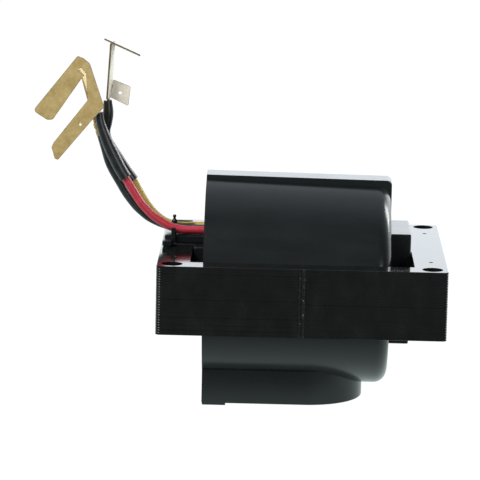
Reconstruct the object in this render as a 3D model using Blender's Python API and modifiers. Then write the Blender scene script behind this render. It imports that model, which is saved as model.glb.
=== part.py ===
"""Ignition coil for a small engine's distributor cap: a laminated window core round a potted coil housing.

Metres, +Z up. X runs along the coil's winding axis, Y from front to back.
The origin is on the surface that the coil stands on, under the middle of the core.
"""

import math

import bmesh
import bpy
from mathutils import Matrix, Vector

MM = 0.001
GAP = 0.3 * MM  # between pieces that touch

# Laminated core: two E stacks, butted at x = 0
CORE_X, CORE_Y, CORE_H = 78.2 * MM, 71.2 * MM, 18.8 * MM
YOKE, OUTER_LEG, CENTRE_LEG = 9.0 * MM, 6.7 * MM, 14.0 * MM
CORE_CORNER = 1.2 * MM
HOLE_D = 5.6 * MM
HOLE_PITCH_X, HOLE_PITCH_Y = 69.85 * MM, 63.5 * MM
AIR_GAP = 1.6 * MM
WELD_NOTCH_W, WELD_NOTCH_D = 1.4 * MM, 0.9 * MM

# Moulded housing: a cup lying along X, open at its left end
AXIS_Z = 32.8 * MM  # the core's middle above the foot
CUP_LEFT, CUP_RIGHT = -26.8 * MM, 24.1 * MM
CUP_R_LEFT, CUP_R_RIGHT = 28.5 * MM, 27.9 * MM
CUP_DROP = 0.65 * MM  # how far the drafted cup's right end lies lower than its left
CUP_WALL, CUP_FILLET = 2.0 * MM, 3.6 * MM
LAND_RIGHT = 24.35 * MM
LAND_Y, LAND_TOP, LAND_FALL = 4.4 * MM, 29.3 * MM, 0.6 * MM
SKIRT_R, SKIRT_CORNER, SKIRT_BOTTOM = 17.5 * MM, 16.0 * MM, -32.2 * MM
FOOT_X, FOOT_INSET = 6.6 * MM, 0.2 * MM
WELL_R, WELL_TOP = 7.5 * MM, -29.0 * MM
STEM_BORE_R = 1.9 * MM
TUNNEL_WALL, TUNNEL_CLEAR = 1.5 * MM, 0.5 * MM
COLLAR_X, COLLAR_Y = CORE_X / 2 - YOKE - GAP, 11.1 * MM  # how far the end collars reach
COLLAR_TOP, COLLAR_BOTTOM = 15.0 * MM, -15.7 * MM
CHEEK_Y = CENTRE_LEG / 2 + 0.6 * MM  # inner faces of the left collar's two cheeks
CHEEK_BOTTOM = -10.0 * MM

# Windings inside the cup
BOBBIN_LEFT, BOBBIN_RIGHT = -21.6 * MM, 20.6 * MM
FLANGE = 1.2 * MM
POTTING_FACE, POTTING_DEPTH = -25.9 * MM, 3.6 * MM

# Free leads
LEAD_D = 2.25 * MM
SHEET = 0.5 * MM  # thickness of the stamped terminals

COLLECTION = "ignition_coil"
HELPERS = "cutters"


def material(name, colour, roughness, metallic=0.0):
    mat = bpy.data.materials.new(name)
    mat.use_nodes = True
    shader = mat.node_tree.nodes["Principled BSDF"]
    shader.inputs["Base Color"].default_value = (*colour, 1)
    shader.inputs["Roughness"].default_value = roughness
    shader.inputs["Metallic"].default_value = metallic
    return mat


def collection(name):
    made = bpy.data.collections.new(name)
    bpy.context.scene.collection.children.link(made)
    return made


def add(name, mesh, mat=None, helper=False):
    """A mesh as a sub-part, or as a helper that only shapes one."""
    obj = bpy.data.objects.new(name, mesh)
    bpy.data.collections[HELPERS if helper else COLLECTION].objects.link(obj)
    if helper:
        obj.hide_render = True
        obj.display_type = "WIRE"
    elif mat:
        mesh.materials.append(mat)
    return obj


def box_mesh(name, low, high):
    low, high = Vector(low), Vector(high)
    bm = bmesh.new()
    bmesh.ops.create_cube(bm, size=1)
    bmesh.ops.scale(bm, vec=high - low, verts=bm.verts)
    bmesh.ops.translate(bm, vec=(low + high) / 2, verts=bm.verts)
    return finished(bm, name)


def finished(bm, name):
    mesh = bpy.data.meshes.new(name)
    bmesh.ops.recalc_face_normals(bm, faces=bm.faces)
    bm.to_mesh(mesh)
    bm.free()
    return mesh


AXIS_TURN = {
    "Z": Matrix(), "X": Matrix.Rotation(math.pi / 2, 4, "Y"), "Y": Matrix.Rotation(-math.pi / 2, 4, "X"),
}


def cylinder_mesh(name, centre, radius, length, axis="Z", sides=32, top_radius=None):
    """A cylinder about its centre, or a cone when the end at +axis has another radius."""
    bm = bmesh.new()
    bmesh.ops.create_cone(
        bm, cap_ends=True, segments=sides, depth=length,
        radius1=radius, radius2=radius if top_radius is None else top_radius,
    )
    bmesh.ops.transform(bm, matrix=Matrix.Translation(centre) @ AXIS_TURN[axis], verts=bm.verts)
    return finished(bm, name)


def boolean(obj, other, operation):
    mod = obj.modifiers.new(f"{operation.lower()}_{other.name}", "BOOLEAN")
    mod.operation, mod.object, mod.solver = operation, other, "EXACT"


def cut(obj, name, mesh):
    boolean(obj, add(f"{obj.name}_{name}", mesh, helper=True), "DIFFERENCE")


def join(obj, name, mesh):
    boolean(obj, add(f"{obj.name}_{name}", mesh, helper=True), "UNION")


def rounded(corners, steps=4):
    """An outline through (x, y, radius) corners, with an arc of points at each corner that has a radius."""
    points = []
    count = len(corners)
    for i, (x, y, radius) in enumerate(corners):
        corner = Vector((x, y))
        if not radius:
            points.append(corner)
            continue
        before = (Vector(corners[i - 1][:2]) - corner).normalized()
        after = (Vector(corners[(i + 1) % count][:2]) - corner).normalized()
        half = before.angle(after) / 2
        centre = corner + (before + after).normalized() * radius / math.sin(half)
        start = corner + before * radius / math.tan(half) - centre
        end = corner + after * radius / math.tan(half) - centre
        sweep = start.angle_signed(end)
        for k in range(steps + 1):
            points.append(centre + Matrix.Rotation(-sweep * k / steps, 2) @ start)
    return points


def outline_mesh(name, points, thickness, matrix=None):
    """A flat outline in XY, given its thickness and then turned into place."""
    curve = bpy.data.curves.new(name, "CURVE")
    curve.dimensions, curve.fill_mode, curve.extrude = "2D", "BOTH", thickness / 2
    spline = curve.splines.new("POLY")
    spline.points.add(len(points) - 1)
    for point, place in zip(spline.points, points):
        point.co = (place[0], place[1], 0, 1)
    spline.use_cyclic_u = True
    guide = bpy.data.objects.new(name, curve)
    bpy.context.scene.collection.objects.link(guide)
    graph = bpy.context.evaluated_depsgraph_get()
    mesh = bpy.data.meshes.new_from_object(guide.evaluated_get(graph))
    bpy.data.objects.remove(guide)
    bpy.data.curves.remove(curve)
    bm = bmesh.new()
    bm.from_mesh(mesh)
    bpy.data.meshes.remove(mesh)
    bmesh.ops.remove_doubles(bm, verts=bm.verts, dist=1e-6)
    if matrix:
        bmesh.ops.transform(bm, matrix=matrix, verts=bm.verts)
    return finished(bm, name)


def smooth(obj, angle=40):
    obj.data.shade_smooth()
    obj.data.set_sharp_from_angle(angle=math.radians(angle))


def core_stack(name, side, mat):
    """One E stack: a yoke with two outer legs and a centre leg that point at x = 0."""
    x, y = CORE_X / 2, CORE_Y / 2
    seam, gap = GAP / 2, AIR_GAP / 2
    notch_x, notch_y = WELD_NOTCH_W / 2, y - WELD_NOTCH_D
    corners = [
        (x, -y, CORE_CORNER), (x, y, CORE_CORNER),
        (notch_x, y, 0), (notch_x, notch_y, 0), (seam, notch_y, 0), (seam, y - OUTER_LEG, 0),
        (x - YOKE, y - OUTER_LEG, 0), (x - YOKE, CENTRE_LEG / 2, 0), (gap, CENTRE_LEG / 2, 0),
        (gap, -CENTRE_LEG / 2, 0), (x - YOKE, -CENTRE_LEG / 2, 0), (x - YOKE, OUTER_LEG - y, 0),
        (seam, OUTER_LEG - y, 0), (seam, -notch_y, 0), (notch_x, -notch_y, 0), (notch_x, -y, 0),
    ]
    turn = Matrix.Rotation(math.pi, 4, "Z") if side < 0 else Matrix()
    place = Matrix.Translation((0, 0, AXIS_Z)) @ turn
    stack = add(name, outline_mesh(name, rounded(corners), CORE_H, place), mat)
    for k, end in enumerate((-1, 1)):
        centre = (side * HOLE_PITCH_X / 2, end * HOLE_PITCH_Y / 2, AXIS_Z)
        cut(stack, f"hole_{k}", cylinder_mesh("hole", centre, HOLE_D / 2, 2 * CORE_H, sides=24))


def cup_profile(inset):
    """The cup's turned outline from its left rim round to its axis at the right end, set in by a wall."""
    left, right = CUP_R_LEFT - inset, CUP_R_RIGHT - inset
    end, fillet = CUP_RIGHT - inset, CUP_FILLET - 0.5 * inset
    arc = [math.radians(90 * k / 5) for k in range(6)]
    start = CUP_LEFT - (2 * MM if inset else 0)
    points = [(start, 0), (start, left)]
    points += [(end - fillet + fillet * math.sin(a), right - fillet + fillet * math.cos(a)) for a in arc]
    return points + [(end, 0)]


def turned_mesh(name, profile, steps=64):
    """A profile of (x, radius) points turned about X with a Screw, as a mesh."""
    mesh = bpy.data.meshes.new(name)
    points = [(radius, 0, -x) for x, radius in profile]  # turned about Z, then laid along X
    mesh.from_pydata(points, [(i, i + 1) for i in range(len(points) - 1)], [])
    guide = bpy.data.objects.new(name, mesh)
    bpy.context.scene.collection.objects.link(guide)
    screw = guide.modifiers.new("turn", "SCREW")
    screw.axis, screw.steps, screw.render_steps = "Z", steps, steps
    screw.use_merge_vertices, screw.merge_threshold = True, 1e-6
    graph = bpy.context.evaluated_depsgraph_get()
    turned = bpy.data.meshes.new_from_object(guide.evaluated_get(graph))
    bpy.data.objects.remove(guide)
    bm = bmesh.new()
    bm.from_mesh(turned)
    bpy.data.meshes.remove(turned)
    bmesh.ops.remove_doubles(bm, verts=bm.verts, dist=1e-6)
    bmesh.ops.transform(bm, matrix=Matrix.Rotation(-math.pi / 2, 4, "Y"), verts=bm.verts)
    return finished(bm, name)


def raised(mesh, drop=0.0):
    """Moves a mesh from the core's middle height to its place, its right end lower by the cup's drop."""
    for vertex in mesh.vertices:
        along = (vertex.co.x - CUP_LEFT) / (CUP_RIGHT - CUP_LEFT)
        vertex.co.z += AXIS_Z - drop * along
    return mesh


def at_axis(low, high, name="block"):
    """A box whose heights count from the core's middle."""
    return raised(box_mesh(name, low, high))


def tunnel_half(extra):
    """Half the width and height of the square tunnel round the centre leg, grown by extra."""
    return CENTRE_LEG / 2 + TUNNEL_CLEAR + extra, CORE_H / 2 + TUNNEL_CLEAR + extra


def left_cheeks(cup):
    """The left collar: a cheek on each side of the centre leg, the back one low enough for the wire guide."""
    root_y, root_z = (CHEEK_Y + 0.2 * MM, CHEEK_Y + 1.2 * MM), 9.0 * MM
    for name, side, top in (("front", -1, 10.0 * MM), ("back", 1, CORE_H / 2)):
        low_y, high_y = sorted((side * CHEEK_Y, side * COLLAR_Y))
        join(cup, f"{name}_cheek", at_axis(
            (-COLLAR_X, low_y, CHEEK_BOTTOM), (CUP_LEFT - 0.15 * MM, high_y, top)))
        low_y, high_y = sorted(side * y for y in root_y)
        join(cup, f"{name}_cheek_root", at_axis(
            (CUP_LEFT - MM, low_y, -root_z), (CUP_LEFT + 1.5 * MM, high_y, root_z)))


def housing(mat):
    cup = add("coil_housing", raised(turned_mesh("coil_housing", cup_profile(0)), CUP_DROP), mat)
    land = outline_mesh(
        "land",
        rounded([
            (CUP_LEFT, 20 * MM, 0), (LAND_RIGHT, 20 * MM, 0),
            (LAND_RIGHT, LAND_TOP - LAND_FALL, 1.2 * MM), (CUP_LEFT, LAND_TOP, 0),
        ]),
        2 * LAND_Y,
        Matrix.Rotation(math.pi / 2, 4, "X"),
    )
    join(cup, "land", raised(land))
    skirt = rounded([
        (CUP_LEFT, -SKIRT_R, 0), (SKIRT_R, -SKIRT_R, SKIRT_CORNER),
        (SKIRT_R, SKIRT_R, SKIRT_CORNER), (CUP_LEFT, SKIRT_R, 0),
    ], steps=12)
    skirt_top = -18 * MM
    place = Matrix.Translation((0, 0, (skirt_top + SKIRT_BOTTOM) / 2))
    join(cup, "skirt", raised(outline_mesh("skirt", skirt, skirt_top - SKIRT_BOTTOM, place)))
    foot_y = SKIRT_R - FOOT_INSET
    join(cup, "foot", at_axis(
        (CUP_LEFT + FOOT_INSET, -foot_y, -AXIS_Z), (CUP_LEFT + FOOT_X, foot_y, SKIRT_BOTTOM + MM)))
    join(cup, "right_collar", at_axis(
        (CUP_RIGHT - MM, -COLLAR_Y, COLLAR_BOTTOM), (COLLAR_X, COLLAR_Y, COLLAR_TOP)))
    cut(cup, "hollow", raised(turned_mesh("hollow", cup_profile(CUP_WALL)), CUP_DROP))
    wide, high = tunnel_half(TUNNEL_WALL)
    join(cup, "tunnel", at_axis((CUP_LEFT + MM, -wide, -high), (CUP_RIGHT - MM, wide, high)))
    wide, high = tunnel_half(0)
    cut(cup, "leg_way", at_axis((-40 * MM, -wide, -high), (40 * MM, wide, high)))
    left_cheeks(cup)
    well_depth = WELL_TOP - SKIRT_BOTTOM
    well = cylinder_mesh("well", (0, 0, SKIRT_BOTTOM + well_depth / 2 - MM), WELL_R, well_depth + 2 * MM)
    cut(cup, "well", raised(well))
    bore = cylinder_mesh("bore", (0, 0, WELL_TOP), STEM_BORE_R, 10 * MM, sides=16)
    cut(cup, "stem_bore", raised(bore))
    smooth(cup)


def resin(mat):
    """The potting, poured into the open end round the tunnel."""
    depth = POTTING_DEPTH
    radius = CUP_R_LEFT - CUP_WALL - 0.4 * MM
    centre = (POTTING_FACE + depth / 2, 0, 0)
    plug = add("potting_resin", raised(cylinder_mesh("potting_resin", centre, radius, depth, "X", 48)), mat)
    wide, high = tunnel_half(TUNNEL_WALL + GAP)
    cut(plug, "tunnel", at_axis((-40 * MM, -wide, -high), (0, wide, high)))
    smooth(plug)


def spool_box(name, mat, inner, wall, flange_reach):
    """A square spool round the tunnel: a tube with a flange at each end."""
    left, right = BOBBIN_LEFT, BOBBIN_RIGHT
    wide, high = tunnel_half(inner + wall)
    spool = add(name, at_axis((left, -wide, -high), (right, wide, high), name), mat)
    wide, high = wide + flange_reach, high + flange_reach
    join(spool, "left_flange", at_axis((left, -wide, -high), (left + FLANGE, wide, high)))
    join(spool, "right_flange", at_axis((right - FLANGE, -wide, -high), (right, wide, high)))
    wide, high = tunnel_half(inner)
    cut(spool, "way", at_axis((-40 * MM, -wide, -high), (40 * MM, wide, high)))


def square_winding(name, mat, inner, depth):
    """A winding with rounded corners on the square spool."""
    left, right = BOBBIN_LEFT + FLANGE + GAP, BOBBIN_RIGHT - FLANGE - GAP
    wide, high = tunnel_half(inner + depth)
    r = 2.5 * MM
    corners = [(-wide, -high, r), (wide, -high, r), (wide, high, r), (-wide, high, r)]
    turn = Matrix(((0, 0, 1, 0), (1, 0, 0, 0), (0, 1, 0, 0), (0, 0, 0, 1)))
    place = Matrix.Translation(((left + right) / 2, 0, 0)) @ turn
    coil = add(name, raised(outline_mesh(name, rounded(corners), right - left, place)), mat)
    wide, high = tunnel_half(inner)
    cut(coil, "way", at_axis((-40 * MM, -wide, -high), (40 * MM, wide, high)))


def ring(name, mat, inner, outer, left, right, sides=48):
    """A tube about the coil's axis."""
    centre = ((left + right) / 2, 0, 0)
    tube = add(name, raised(cylinder_mesh(name, centre, outer, right - left, "X", sides)), mat)
    cut(tube, "way", raised(cylinder_mesh("way", centre, inner, right - left + 4 * MM, "X", sides)))
    smooth(tube)


def round_spool(name, mat, inner, wall, reach):
    """The secondary's round spool: a tube with a flange at each end."""
    left, right = BOBBIN_LEFT, BOBBIN_RIGHT
    middle = ((left + right) / 2, 0, 0)
    tube = add(name, raised(cylinder_mesh(name, middle, inner + wall, right - left, "X", 48)), mat)
    for side, x in (("left", left), ("right", right - FLANGE)):
        centre = (x + FLANGE / 2, 0, 0)
        join(tube, f"{side}_flange", raised(cylinder_mesh("flange", centre, reach, FLANGE, "X", 48)))
    cut(tube, "way", raised(cylinder_mesh("way", middle, inner, 60 * MM, "X", 48)))
    smooth(tube)


def contact(mat):
    """The high-tension button: a disc in the well, with a stem up through the housing."""
    button_low, button_high = SKIRT_BOTTOM + 1.2 * MM, WELL_TOP - GAP
    centre = (0, 0, (button_low + button_high) / 2)
    button = add("high_tension_contact", raised(
        cylinder_mesh("high_tension_contact", centre, 4.2 * MM, button_high - button_low, sides=32)), mat)
    stem_top = -26.6 * MM
    centre = (0, 0, (button_low + stem_top) / 2 + 0.5 * MM)
    join(button, "stem", raised(
        cylinder_mesh("stem", centre, 1.5 * MM, stem_top - button_low - MM, sides=16)))
    smooth(button)
    wire_low, wire_high = stem_top + GAP, -24.4 * MM
    centre = (0, 0, (wire_low + wire_high) / 2)
    add("high_tension_link", raised(
        cylinder_mesh("high_tension_link", centre, 0.6 * MM, wire_high - wire_low, sides=12)), mat)


def wire_guide(mat):
    """The moulded tongue on the left yoke that the leads leave over, with its post, arm and front tab."""
    low = CORE_H / 2 + GAP
    guide = add("wire_guide", at_axis(
        (-38.2 * MM, -3.2 * MM, low), (-26.4 * MM, 8.5 * MM, 11.85 * MM), "wire_guide"), mat)
    join(guide, "step", at_axis((-38.6 * MM, -8.4 * MM, low), (-36.0 * MM, MM, 11.2 * MM)))
    post_x, post_y = -35.7 * MM, 2.45 * MM
    join(guide, "post", raised(
        cylinder_mesh("post", (post_x, post_y, 13.8 * MM), 0.5 * MM, 6.0 * MM, sides=12)))
    join(guide, "knob", raised(cylinder_mesh(
        "knob", (post_x, post_y, 15.2 * MM), 0.85 * MM, 1.6 * MM, sides=16, top_radius=0.5 * MM)))
    join(guide, "arm", at_axis(
        (post_x, post_y - 0.4 * MM, 14.8 * MM), (-30.6 * MM, post_y + 0.8 * MM, 15.2 * MM)))
    join(guide, "tab", at_axis((-36.3 * MM, -4.6 * MM, 11.4 * MM), (-35.1 * MM, -3.9 * MM, 14.2 * MM)))
    join(guide, "tab_root", at_axis((-36.3 * MM, -4.6 * MM, low), (-35.1 * MM, -1.5 * MM, 11.7 * MM)))


def route(points, spacing):
    """Points about a spacing apart on a smooth curve through a route's own points (Catmull-Rom)."""
    points = [Vector(p) * MM for p in points]
    ends = [2 * points[0] - points[1], *points, 2 * points[-1] - points[-2]]
    line = [points[0]]
    for a, b, c, d in zip(ends, ends[1:], ends[2:], ends[3:]):
        steps = max(1, round((c - b).length / spacing))
        for k in range(1, steps + 1):
            t = k / steps
            line.append(0.5 * (2 * b + (c - a) * t + (2 * a - 5 * b + 4 * c - d) * t**2
                               + (3 * b - a - 3 * c + d) * t**3))
    return line


def tube(name, points, mat):
    """A round lead or sleeve along (x, y, z, diameter) points whose heights count from the core's middle."""
    curve = bpy.data.curves.new(name, "CURVE")
    curve.dimensions, curve.bevel_depth, curve.bevel_resolution = "3D", LEAD_D / 2, 2
    curve.use_fill_caps = True
    line = route(points, 2 * LEAD_D)
    spline = curve.splines.new("POLY")
    spline.points.add(len(line) - 1)
    for point, place in zip(spline.points, line):
        x, y, z, diameter = place
        point.co = (x, y, z + AXIS_Z, 1)
        point.radius = diameter / LEAD_D
    obj = bpy.data.objects.new(name, curve)
    bpy.data.collections[COLLECTION].objects.link(obj)
    curve.materials.append(mat)


def wire(name, points, mat):
    tube(name, [(*point, LEAD_D / MM) for point in points], mat)


RED_LEAD = [
    (-26.2, -2.2, 13.3), (-29.8, -2.2, 13.3), (-32.3, -2.2, 13.3), (-34.8, -2.2, 13.6), (-37.3, -2.3, 14.4),
    (-39.8, -2.4, 15.9), (-42.0, -2.5, 17.5), (-45.1, -2.65, 20.9), (-47.2, -2.75, 24.2), (-49.1, -2.8, 27.3),
]
RED_SLEEVE = [
    (-49.3, -2.8, 27.7, 3.3), (-50.9, -2.8, 30.3, 3.4), (-52.6, -2.8, 33.6, 3.4), (-54.2, -2.8, 36.9, 3.2),
    (-55.5, -2.8, 40.2, 2.8), (-56.4, -2.75, 43.0, 2.4), (-56.8, -2.7, 45.7, 2.2),
]
YELLOW_LEAD = [
    (-26.2, 4.4, 13.3), (-30.0, 4.4, 13.3), (-32.5, 4.4, 13.2), (-35.0, 4.4, 13.3), (-37.0, 4.3, 13.8),
    (-38.7, 4.1, 14.6), (-40.4, 3.9, 15.8), (-41.9, 3.7, 17.3), (-43.4, 3.5, 19.2), (-45.5, 3.2, 22.6),
    (-47.2, 3.0, 25.7),
]
YELLOW_SLEEVE = [
    (-47.4, 3.0, 26.0, 3.1), (-49.4, 3.0, 28.6, 3.2), (-51.6, 3.0, 31.8, 3.3), (-53.5, 3.0, 34.8, 3.1),
    (-54.7, 3.0, 37.1, 2.7), (-55.2, 3.0, 39.6, 2.5), (-54.9, 2.95, 42.2, 2.9), (-54.6, 2.9, 45.0, 2.9),
    (-54.8, 2.8, 48.3, 2.3),
]
BLACK_LEAD = [
    (-26.2, 0.4, 13.2), (-29.9, 0.4, 13.2), (-32.4, 0.4, 13.2), (-35.2, 0.4, 13.4), (-38.2, 0.3, 14.1),
    (-40.6, 0.25, 15.0), (-42.9, 0.2, 16.2), (-44.8, 0.2, 17.7), (-46.6, 0.2, 19.4), (-49.1, 0.2, 22.6),
    (-51.1, 0.2, 25.9), (-53.0, 0.2, 29.1), (-54.2, 0.2, 31.7), (-55.2, 0.2, 35.1), (-56.2, 0.2, 38.4),
]


def sheet_matrix(origin, across, up):
    """Places a flat outline so that its x runs along across and its y along up."""
    across = Vector(across).normalized()
    normal = across.cross(Vector(up)).normalized()
    up = normal.cross(across)
    turn = Matrix((across, up, normal)).transposed().to_4x4()
    return Matrix.Translation(Vector(origin) * MM) @ turn


def sheet(name, corners, matrix, thickness=SHEET):
    points = rounded([(x * MM, y * MM, r * MM) for x, y, r in corners], steps=3)
    return raised(outline_mesh(name, points, thickness, matrix))


def battery_terminal(mat):
    """Flat two-bladed stamping on the red lead, facing the front."""
    corners = [
        (-62.8, 61.4, 0.6), (-74.9, 46.0, 1.0), (-71.0, 43.5, 1.2), (-69.4, 43.6, 1.0), (-60.9, 56.2, 0.2),
        (-62.6, 57.6, 0.2), (-61.9, 58.2, 0.2), (-60.4, 56.6, 0.2), (-59.9, 49.2, 0.3), (-69.1, 37.3, 0.8),
        (-69.7, 35.9, 0.4), (-68.8, 32.8, 0.4), (-67.9, 32.4, 0.4), (-58.5, 43.8, 0), (-55.3, 47.4, 0.2),
        (-59.4, 59.4, 0.8), (-61.2, 60.8, 0.5),
    ]
    terminal = add("battery_terminal", sheet("battery_terminal", corners,
                                             sheet_matrix((0, -4.4, 0), (1, 0, 0), (0, 0, 1))), mat)
    dimple = cylinder_mesh("dimple", (-61.8 * MM, -4.4 * MM, 42.4 * MM), 0.35 * MM, 2 * MM, "Y", 8)
    cut(terminal, "locking_hole", raised(dimple))


def tachometer_terminal(mat):
    """Stamping on the yellow lead: a strip on its edge, a square tab facing the front and a bent-over top."""
    lean = (0.06, 0, 1)
    strip = add("tachometer_terminal", sheet(
        "tachometer_terminal", [(0, 0, 0), (5.0, 0, 0), (5.0, 15.6, 0), (0, 15.6, 0)],
        sheet_matrix((-54.9, 0.4, 48.9), (0.16, 1, 0), lean)), mat)
    tab = [(-0.6, 0.4, 0), (4.4, -1.9, 0.2), (5.0, 3.5, 0.4), (0.2, 5.4, 0)]
    join(strip, "tab", sheet("tab", tab, sheet_matrix((-53.6, 5.2, 48.4), (1, 0, 0), lean)))
    fall = (0, 0.983, -0.185)
    top = [(-2.6, -2.4, 0.5), (8.3, -2.4, 0.5), (8.3, 2.4, 0.5), (-2.6, 2.4, 0.5)]
    join(strip, "top", sheet("top", top, sheet_matrix((-53.6, 3.0, 64.2), (0.917, 0, -0.4), fall), 0.4 * MM))
    hole = cylinder_mesh("hole", (-51.5 * MM, 5.2 * MM, 50.1 * MM), 0.45 * MM, 3 * MM, "Y", 8)
    cut(strip, "locking_hole", raised(hole))


def ground_terminal(mat):
    """Stamping on the black lead: a crimped barrel and a narrow blade that stands on its edge."""
    barrel = [(-56.4, 0.2, 38.9), (-57.5, 0.2, 42.4)]
    low, high = (Vector(p) * MM for p in barrel)
    mesh = cylinder_mesh("ground_terminal", (0, 0, 0), 1.25 * MM, (high - low).length, sides=12)
    turn = (high - low).to_track_quat("Z", "Y").to_matrix().to_4x4()
    mesh.transform(Matrix.Translation((low + high) / 2) @ turn)
    terminal = add("ground_terminal", raised(mesh), mat)
    blade = [(-1.3, -1.6, 0), (1.7, -1.6, 0), (1.7, 15.6, 0.8), (-1.3, 15.6, 0.8)]
    place = sheet_matrix((-57.8, 0.6, 42.6), (0.34, 0.94, 0), (-0.34, 0, 1))
    join(terminal, "blade", sheet("blade", blade, place))


def clear_scene():
    for obj in list(bpy.data.objects):
        bpy.data.objects.remove(obj, do_unlink=True)
    collection(COLLECTION)
    collection(HELPERS)


def main():
    clear_scene()
    steel = material("lamination_steel", (0.02, 0.022, 0.022), 0.35, 0.6)
    weld = material("weld_steel", (0.2, 0.2, 0.2), 0.4, 1.0)
    plastic = material("housing_plastic", (0.03, 0.034, 0.037), 0.35)
    epoxy = material("potting_epoxy", (0.012, 0.012, 0.013), 0.3)
    nylon = material("bobbin_nylon", (0.75, 0.72, 0.62), 0.5)
    copper = material("enamelled_copper", (0.45, 0.16, 0.07), 0.35, 0.9)
    fibre = material("fish_paper", (0.35, 0.27, 0.16), 0.7)
    brass = material("brass", (0.52, 0.4, 0.18), 0.35, 0.9)
    tinned = material("tinned_brass", (0.8, 0.76, 0.66), 0.35, 0.9)
    red = material("red_insulation", (0.45, 0.03, 0.05), 0.4)
    yellow = material("yellow_insulation", (0.55, 0.4, 0.1), 0.4)
    black = material("black_insulation", (0.02, 0.022, 0.025), 0.4)

    core_stack("core_left_stack", -1, steel)
    core_stack("core_right_stack", 1, steel)
    spacer = AIR_GAP / 2 - GAP
    wide, high = CENTRE_LEG / 2 - GAP, CORE_H / 2 - GAP
    add("air_gap_spacer", at_axis((-spacer, -wide, -high), (spacer, wide, high), "air_gap_spacer"), fibre)
    bead_y, bead_r = CORE_Y / 2 - 0.5 * MM, 0.35 * MM
    for name, side in (("front_seam_weld", -1), ("rear_seam_weld", 1)):
        add(name, raised(cylinder_mesh(name, (0, side * bead_y, 0), bead_r, CORE_H, sides=12)), weld)

    housing(plastic)
    resin(epoxy)
    spool_box("primary_bobbin", nylon, TUNNEL_WALL + GAP, 0.9 * MM, 2.15 * MM)
    square_winding("primary_winding", copper, TUNNEL_WALL + 0.9 * MM + 2 * GAP, 1.9 * MM)
    round_spool("secondary_bobbin", nylon, 19.6 * MM, 0.9 * MM, 24.9 * MM)
    winding_ends = BOBBIN_LEFT + FLANGE + GAP, BOBBIN_RIGHT - FLANGE - GAP
    ring("secondary_winding", copper, 20.8 * MM, 24.0 * MM, *winding_ends)
    contact(brass)
    wire_guide(plastic)

    wire("red_lead", RED_LEAD, red)
    tube("red_sleeve", RED_SLEEVE, black)
    wire("yellow_lead", YELLOW_LEAD, yellow)
    tube("yellow_sleeve", YELLOW_SLEEVE, black)
    wire("black_lead", BLACK_LEAD, black)
    battery_terminal(brass)
    tachometer_terminal(tinned)
    ground_terminal(brass)


main()
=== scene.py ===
"""Ignition coil: the fine surfaces, leads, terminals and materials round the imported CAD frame.

Metres, in the CAD's own frame: X along the coil's winding axis, Y from front to back, Z up from the foot.
"""
import math
import random

import bmesh
import bpy
from mathutils import Matrix, Vector, noise

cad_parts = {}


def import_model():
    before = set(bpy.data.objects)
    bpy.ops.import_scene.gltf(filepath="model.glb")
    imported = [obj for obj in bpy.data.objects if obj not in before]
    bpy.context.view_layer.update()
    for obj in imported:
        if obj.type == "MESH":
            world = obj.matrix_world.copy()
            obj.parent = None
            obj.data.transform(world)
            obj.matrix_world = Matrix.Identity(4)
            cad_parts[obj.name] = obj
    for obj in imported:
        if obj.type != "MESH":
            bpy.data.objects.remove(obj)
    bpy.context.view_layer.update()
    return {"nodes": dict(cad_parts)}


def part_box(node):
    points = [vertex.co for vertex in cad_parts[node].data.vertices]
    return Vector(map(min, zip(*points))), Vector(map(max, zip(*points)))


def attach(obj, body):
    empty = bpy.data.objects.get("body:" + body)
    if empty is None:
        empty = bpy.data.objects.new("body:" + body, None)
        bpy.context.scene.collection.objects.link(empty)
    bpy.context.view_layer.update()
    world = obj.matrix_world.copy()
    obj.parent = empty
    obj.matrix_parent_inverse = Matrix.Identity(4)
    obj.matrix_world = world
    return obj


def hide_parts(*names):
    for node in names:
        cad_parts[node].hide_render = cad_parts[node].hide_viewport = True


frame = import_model()

MM = 0.001
MERGE = 0.0005 * MM  # corners closer than this are one
ROOT = "root"
AXIS_Z = sum(corner[2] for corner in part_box("core_left_stack")) / 2  # the core's middle height

# Camera: it looks at a point on the coil from the front, a little above
CAM_DISTANCE, CAM_AZIMUTH, CAM_ELEVATION, CAM_ROLL = 0.85405, 0.7723, 10.6596, 1.2166
CAM_AIM = Vector((-17.3 * MM, 0, AXIS_Z + 10.32 * MM))
CAM_LENS, CAM_SENSOR = 230.25, 36.0

# Laminated core
CORE_LOW, CORE_HIGH = (Vector(c) for c in (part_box("core_left_stack")[0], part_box("core_right_stack")[1]))
CORE_H = CORE_HIGH.z - CORE_LOW.z
YOKE, OUTER_LEG, CENTRE_LEG = 9.0 * MM, 6.7 * MM, 14.0 * MM
CORE_CORNER = 1.2 * MM
SHEETS = 27  # fewer than the real core has
SHEET_GROOVE = 0.07 * MM
EDGE_ROLL = 0.14 * MM
HOLE_R = 2.8 * MM
HOLE_X, HOLE_Y = 34.925 * MM, 31.75 * MM
DIMPLE_INWARD = 10.3 * MM
SEAM_HALF, SEAM_DEPTH = 0.42 * MM, 0.6 * MM
BEAD_HALF, BEAD_SEAT = 0.95 * MM, 0.12 * MM  # the weld run down the seam, and how deep it is set

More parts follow.
